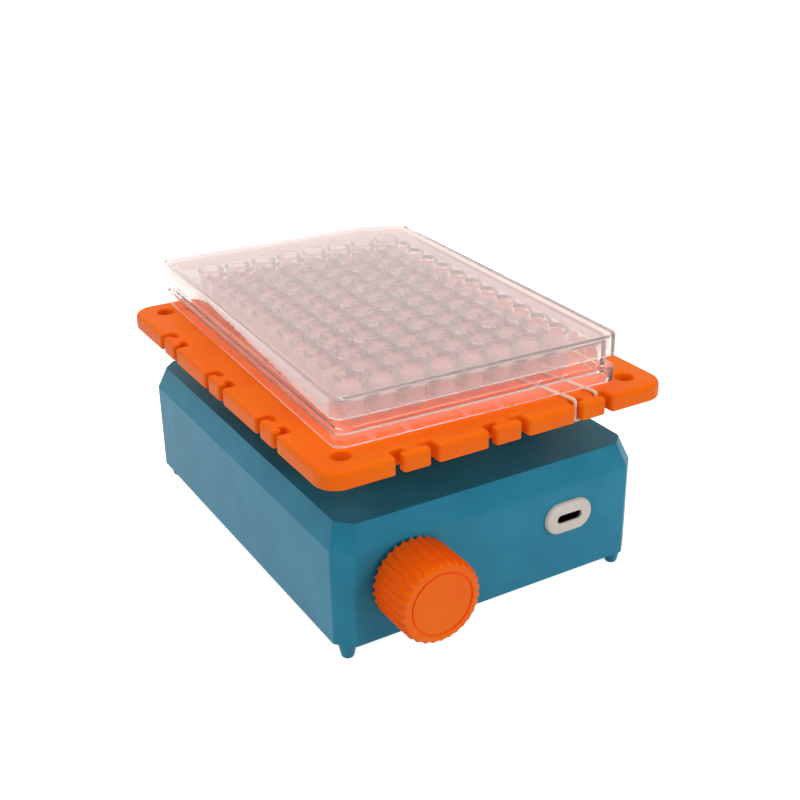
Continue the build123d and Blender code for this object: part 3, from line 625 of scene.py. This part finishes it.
def makeSocket():
    low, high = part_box("usb_bezel")
    middleX, middleZ = (low.x + high.x) / 2, (low.z + high.z) / 2
    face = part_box("housing_shell")[0].y
    width, height = socket["opening"]
    wall = socket["shellWall"]
    back = socket["setBack"] + socket["shellLength"]

    def fromFront(x, y, z):
        return (middleX + x, low.y - z, middleZ + y)

    proud = face - low.y
    depth = high.y - low.y
    bm = bmesh.new()
    outer = stadium(high.x - low.x, high.z - low.z)
    mouth = [(x, y, 0.25 * mm) for x, y, own in stadium(width, height, True)]
    roundedSlab(bm, [outer, mouth], -proud, 0, 0.1 * mm, socket["bezelRound"], fromFront)
    margin = 2 * (wall + socket["neckMargin"])
    neck = stadium(width + margin, height + margin)
    roundedSlab(bm, [neck, stadium(width + 2 * wall, height + 2 * wall, True)], -depth, -proud,
                0.1 * mm, 0.05 * mm, fromFront, 1)
    addPiece("usbBezel", bm, whitePla, "base", ["usb_bezel"])

    bm = bmesh.new()
    shellOutlines = [stadium(width + 2 * wall, height + 2 * wall), stadium(width, height, True)]
    roundedSlab(bm, shellOutlines, -back + wall, -socket["setBack"], 0.02 * mm, 0.1 * mm, fromFront, 2)
    roundedSlab(bm, [stadium(width + 2 * wall, height + 2 * wall)], -back, -back + wall,
                0.1 * mm, 0.02 * mm, fromFront, 2)
    addPiece("usbShell", bm, nickelInPaintedShade, "base", ["usb_socket"])

    tongueWidth, tongueHeight, tongueLength = socket["tongue"]
    corners = [(sx * tongueWidth / 2, sy * tongueHeight / 2, 0.15 * mm)
               for sx, sy in ((-1, -1), (1, -1), (1, 1), (-1, 1))]
    bm = bmesh.new()
    roundedSlab(bm, [roundedPolygon(corners, 3)], -back + wall, -back + tongueLength, 0.02 * mm, 0.12 * mm,
                fromFront, 2)
    addPiece("usbTongue", bm, blackNylon, "base")

    bm = bmesh.new()
    for side in (-1, 1):
        for k in range(socket["contacts"]):
            x = (k - (socket["contacts"] - 1) / 2) * socket["contactPitch"]
            strip = [(x + sx * 0.12 * mm, side * (tongueHeight / 2 + 0.01 * mm) + sy * 0.03 * mm, 0.01 * mm)
                     for sx, sy in ((-1, -1), (1, -1), (1, 1), (-1, 1))]
            roundedSlab(bm, [roundedPolygon(strip, 1)], -back + wall, -back + tongueLength - 0.6 * mm,
                        0.01 * mm, 0.01 * mm, fromFront, 1)
    addPiece("usbContacts", bm, goldContact, "base")


makeSocket()
print("socket made")


# Feet: cones with a ball tip, each with a stem in the housing's corner pad
foot = {
    "ballRadius": 1.9 * mm,
    "tipRadius": 0.9 * mm,
    "stemRadius": 1.5 * mm,
    "ballShare": 0.7,  # height of the ball, over its radius
}


def makeFeet():
    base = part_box("housing_shell")[0].z
    for corner in ("front_left", "front_right", "back_left", "back_right"):
        low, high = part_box("foot_" + corner)
        radius = (high.x - low.x) / 2
        ball, tip, stem = foot["ballRadius"], foot["tipRadius"], foot["stemRadius"]
        bendTop = ball * foot["ballShare"]
        profile = [(stem, high.z), (stem, base), (radius, base), (ball, bendTop)]
        for k in range(1, 8):
            bend = math.pi / 2 * k / 7
            profile.append((tip + (ball - tip) * math.cos(bend), bendTop * (1 - math.sin(bend))))
        bm = bmesh.new()
        turnedPiece(bm, (low.x + high.x) / 2, (low.y + high.y) / 2, profile)
        side = corner.title().replace("_", "")
        addPiece("foot" + side, bm, tealPetg, "base", ["foot_" + corner])


makeFeet()
print("feet made")


# Well plate: flange, stepped wall, deck with 96 raised well rims, and the wells under it
plate = {
    "width": 85.48 * mm,
    "depth": 127.76 * mm,
    "cornerRadius": 3.2 * mm,
    "flange": 4.3 * mm,
    "wall": 1.2 * mm,
    "stepIn": 1.75 * mm,
    "height": 12.4 * mm,
    "deckTop": 12.0 * mm,
    "deckBottom": 10.9 * mm,
    "pitch": 9.0 * mm,
    "columns": 8,
    "rows": 12,
    "wellRadius": 3.3 * mm,
    "rimRadius": 3.95 * mm,
    "wellFloor": 2.6 * mm,
    "wellBottom": 1.7 * mm,
    "mediumLevel": 8.5 * mm,
    "cut": (11.0 * mm, 6.0 * mm),
    "sides": 32,
    "shift": (-0.7 * mm, 3.4 * mm),  # from the tray's middle
    "turn": -2.3,
    "tilt": 0.55,  # its front edge lies on the band
    "seatGap": 0.15 * mm,
}
lid = {
    "overhang": 0.15 * mm,
    "wall": 1.1 * mm,
    "top": 1.2 * mm,
    "skirt": 6.2 * mm,
    "clearance": 0.3 * mm,
    "edgeRound": 0.7 * mm,
}
hinge = plate["depth"] / 2
plateSpot = Vector((trayMiddle.x + plate["shift"][0], trayMiddle.y + plate["shift"][1], trayTop))
plateMatrix = (Matrix.Translation(plateSpot) @ Matrix.Rotation(math.radians(plate["turn"]), 4, "Z")
               @ Matrix.Translation((0, hinge, plate["seatGap"]))
               @ Matrix.Rotation(math.radians(-plate["tilt"]), 4, "X") @ Matrix.Translation((0, -hinge, 0)))


# Plan of the plate or the lid at one height, with the corner at the back right cut off or only rounded
def platePlan(outset, height, cut=True):
    right, back = plate["width"] / 2 + outset, plate["depth"] / 2 + outset
    radius = plate["cornerRadius"]
    cutX, cutY = plate["cut"] if cut else (radius * 0.6, radius * 0.6)
    corners = [(-right, -back, radius), (right, -back, radius), (right, back - cutY, 2.0 * mm),
               (right - cutX, back, 2.0 * mm), (-right, back, radius)]
    return [(x, y, height) for x, y, own in roundedPolygon(corners)]


def wellPlaces():
    across, along = ((plate[part] - 1) / 2 for part in ("columns", "rows"))
    return [((column - across) * plate["pitch"], (row - along) * plate["pitch"])
            for column in range(plate["columns"]) for row in range(plate["rows"])]


def ringAt(x, y, radius, height):
    turns = [math.tau * k / plate["sides"] for k in range(plate["sides"])]
    return [(x + radius * math.cos(t), y + radius * math.sin(t), height) for t in turns]


def makePlate():
    step, wall, flange = plate["stepIn"], plate["wall"], plate["flange"]
    deckTop, deckBottom = plate["deckTop"], plate["deckBottom"]
    bm = bmesh.new()
    outside = joinRings(bm, [
        platePlan(-step - 0.5 * mm, deckTop), platePlan(-step - 0.15 * mm, deckTop - 0.1 * mm),
        platePlan(-step, deckTop - 0.45 * mm), platePlan(-step + 0.1 * mm, flange + 0.5 * mm),
        platePlan(-step + 0.4 * mm, flange + 0.1 * mm), platePlan(-0.5 * mm, flange, False),
        platePlan(-0.1 * mm, flange - 0.15 * mm, False), platePlan(0, flange - 0.5 * mm, False),
        platePlan(0, 0.2 * mm, False), platePlan(-0.15 * mm, 0, False),
        platePlan(-wall + 0.15 * mm, 0, False),
        platePlan(-wall, 0.2 * mm, False), platePlan(-wall, flange - wall, False),
        platePlan(-step - wall + 0.1 * mm, flange - wall + 0.2 * mm), platePlan(-step - wall, deckBottom),
    ])
    topEdges, underEdges = ringEdges(bm, outside[0]), ringEdges(bm, outside[-1])
    bore, rim, height = plate["wellRadius"], plate["rimRadius"], plate["height"]
    floor, bottom = plate["wellFloor"], plate["wellBottom"]
    for x, y in wellPlaces():
        inside = joinRings(bm, [ringAt(x, y, r, z) for r, z in (
            (rim + 0.1 * mm, deckTop), (rim, deckTop + 0.1 * mm), (rim - 0.05 * mm, height - 0.1 * mm),
            (rim - 0.15 * mm, height), (bore + 0.15 * mm, height), (bore + 0.02 * mm, height - 0.1 * mm),
            (bore, height - 0.3 * mm), (bore - 0.1 * mm, floor + 0.5 * mm),
            (bore - 0.25 * mm, floor + 0.15 * mm),
            (bore - 0.6 * mm, floor))])
        topEdges += ringEdges(bm, inside[0])
        bm.faces.new(inside[-1])
        under = joinRings(bm, [ringAt(x, y, r, z) for r, z in (
            (rim + 0.1 * mm, deckBottom), (rim, deckBottom - 0.2 * mm), (rim - 0.1 * mm, bottom + 0.5 * mm),
            (rim - 0.25 * mm, bottom + 0.1 * mm), (rim - 0.5 * mm, bottom))])
        underEdges += ringEdges(bm, under[0])
        bm.faces.new(under[-1])
    bmesh.ops.triangle_fill(bm, edges=topEdges, use_beauty=True)
    bmesh.ops.triangle_fill(bm, edges=underEdges, use_beauty=True)
    addPiece("wellPlate", bm, clearPlate, "microplate", ["microplate"], 30, plateMatrix)

    bm = bmesh.new()
    inner, level = bore - 0.18 * mm, plate["mediumLevel"]
    for x, y in wellPlaces():
        filling = joinRings(bm, [ringAt(x, y, r, z) for r, z in (
            (inner - 0.5 * mm, floor + 0.08 * mm), (inner, floor + 0.6 * mm), (inner, level),
            (inner - 0.25 * mm, level - 0.25 * mm), (inner - 0.8 * mm, level - 0.45 * mm),
            (inner - 1.8 * mm, level - 0.55 * mm))])
        bm.faces.new(filling[0])
        bm.faces.new(filling[-1])
    addPiece("growthMedium", bm, medium, "microplate", place=plateMatrix)


def makeLid():
    out, wall, edge = lid["overhang"], lid["wall"], lid["edgeRound"]
    innerTop = plate["height"] + lid["clearance"]
    top = innerTop + lid["top"]
    bottom = top - lid["skirt"]
    rings = [platePlan(out - wall + 0.15 * mm, bottom), platePlan(out - 0.15 * mm, bottom),
             platePlan(out, bottom + 0.15 * mm)]
    for k in range(5):
        bend = math.pi / 2 * k / 4
        rings.append(platePlan(out - edge * (1 - math.cos(bend)), top - edge * (1 - math.sin(bend))))
    bm = bmesh.new()
    outside = joinRings(bm, rings)
    inner = out - wall
    inside = joinRings(bm, [platePlan(inner + 0.15 * mm, bottom), platePlan(inner, bottom + 0.15 * mm),
                            platePlan(inner, innerTop - 0.3 * mm),
                            platePlan(inner - 0.1 * mm, innerTop - 0.1 * mm),
                            platePlan(inner - 0.3 * mm, innerTop)])
    bmesh.ops.triangle_fill(bm, edges=ringEdges(bm, outside[-1]), use_beauty=True)
    bmesh.ops.triangle_fill(bm, edges=ringEdges(bm, inside[-1]), use_beauty=True)
    bmesh.ops.remove_doubles(bm, verts=bm.verts, dist=0.001 * mm)
    addPiece("plateLid", bm, clearLid, "plate_lid", ["plate_lid"], 30, plateMatrix)


makePlate()
makeLid()
print("plate and lid made")

printedEdges = {"housing_shell": 0.3 * mm, "bottom_cover": 0.3 * mm}  # width of each softened edge
for name, width in printedEdges.items():
    softenEdges(name, width)
print("printed edges softened")


# Floor, world and lamps
studio = {
    "floorSize": 6.0,
    "floorTone": "#E8E8E8",
    "floorGlow": 0.88,  # lifts the floor to white for the eye alone
    "ambient": "#FFFFFF",
    "ambientStrength": 0.14,
}
lamps = {  # place, size and power of each soft lamp, all aimed at the tray
    "overheadLamp": ((-0.1, 0.15, 0.9), 0.9, 4.9),
    "leftLamp": ((-0.9, -0.35, 0.45), 0.6, 2.4),
    "rightLamp": ((0.5, -0.95, 0.45), 0.6, 4.8),
}


def seenDirectly(tree):
    path = addNode(tree, "ShaderNodeLightPath")
    mirror = addNode(tree, "ShaderNodeMath", {0: path.outputs["Is Camera Ray"],
                                              1: path.outputs["Is Glossy Ray"]},
                     operation="MAXIMUM")
    both = addNode(tree, "ShaderNodeMath", {0: mirror.outputs[0], 1: path.outputs["Is Transmission Ray"]},
                   operation="MAXIMUM")
    return both.outputs[0]


def makeFloor():
    bm = bmesh.new()
    bmesh.ops.create_grid(bm, x_segments=1, y_segments=1, size=studio["floorSize"] / 2)
    mesh = bpy.data.meshes.new("floor")
    bm.to_mesh(mesh)
    bm.free()
    material, tree = newMaterial("paperFloor")
    paper = addNode(tree, "ShaderNodeBsdfDiffuse", {"Color": linear(studio["floorTone"])})
    glow = addNode(tree, "ShaderNodeEmission", {"Strength": studio["floorGlow"]})
    black = addNode(tree, "ShaderNodeEmission", {"Strength": 0.0})
    extra = addNode(tree, "ShaderNodeMixShader", {0: seenDirectly(tree), 1: black.outputs[0],
                                                  2: glow.outputs[0]})
    lit = addNode(tree, "ShaderNodeAddShader", {0: paper.outputs[0], 1: extra.outputs[0]})
    clear = addNode(tree, "ShaderNodeBsdfTransparent")
    side = addNode(tree, "ShaderNodeNewGeometry")
    oneSided = addNode(tree, "ShaderNodeMixShader", {0: side.outputs["Backfacing"], 1: lit.outputs[0],
                                                     2: clear.outputs[0]})
    closeMaterial(tree, oneSided)
    mesh.materials.append(material)
    floor = bpy.data.objects.new("floor", mesh)
    bpy.context.scene.collection.objects.link(floor)


def makeWorld():
    world = bpy.data.worlds.new("studio")
    bpy.context.scene.world = world
    world.use_nodes = True
    tree = world.node_tree
    tree.nodes.clear()
    ambient = addNode(tree, "ShaderNodeBackground", {"Color": linear(studio["ambient"]),
                                                     "Strength": studio["ambientStrength"]})
    white = addNode(tree, "ShaderNodeBackground", {"Strength": 1.0})
    white.inputs["Color"].default_value = (1, 1, 1, 1)
    mix = addNode(tree, "ShaderNodeMixShader", {0: seenDirectly(tree), 1: ambient.outputs[0],
                                                2: white.outputs[0]})
    addNode(tree, "ShaderNodeOutputWorld", {"Surface": mix.outputs[0]})


def makeLamps():
    target = Vector((0, 0, 0.04))
    for name, (spot, size, power) in lamps.items():
        data = bpy.data.lights.new(name, "AREA")
        data.shape = "SQUARE"
        data.size = size
        data.energy = power
        lamp = bpy.data.objects.new(name, data)
        lamp.location = spot
        lamp.rotation_euler = (Vector(spot) - target).to_track_quat("Z", "Y").to_euler()
        lamp.visible_glossy = False
        bpy.context.scene.collection.objects.link(lamp)


makeFloor()
makeWorld()
makeLamps()
bpy.context.scene.view_settings.view_transform = "Standard"
print("studio lit")
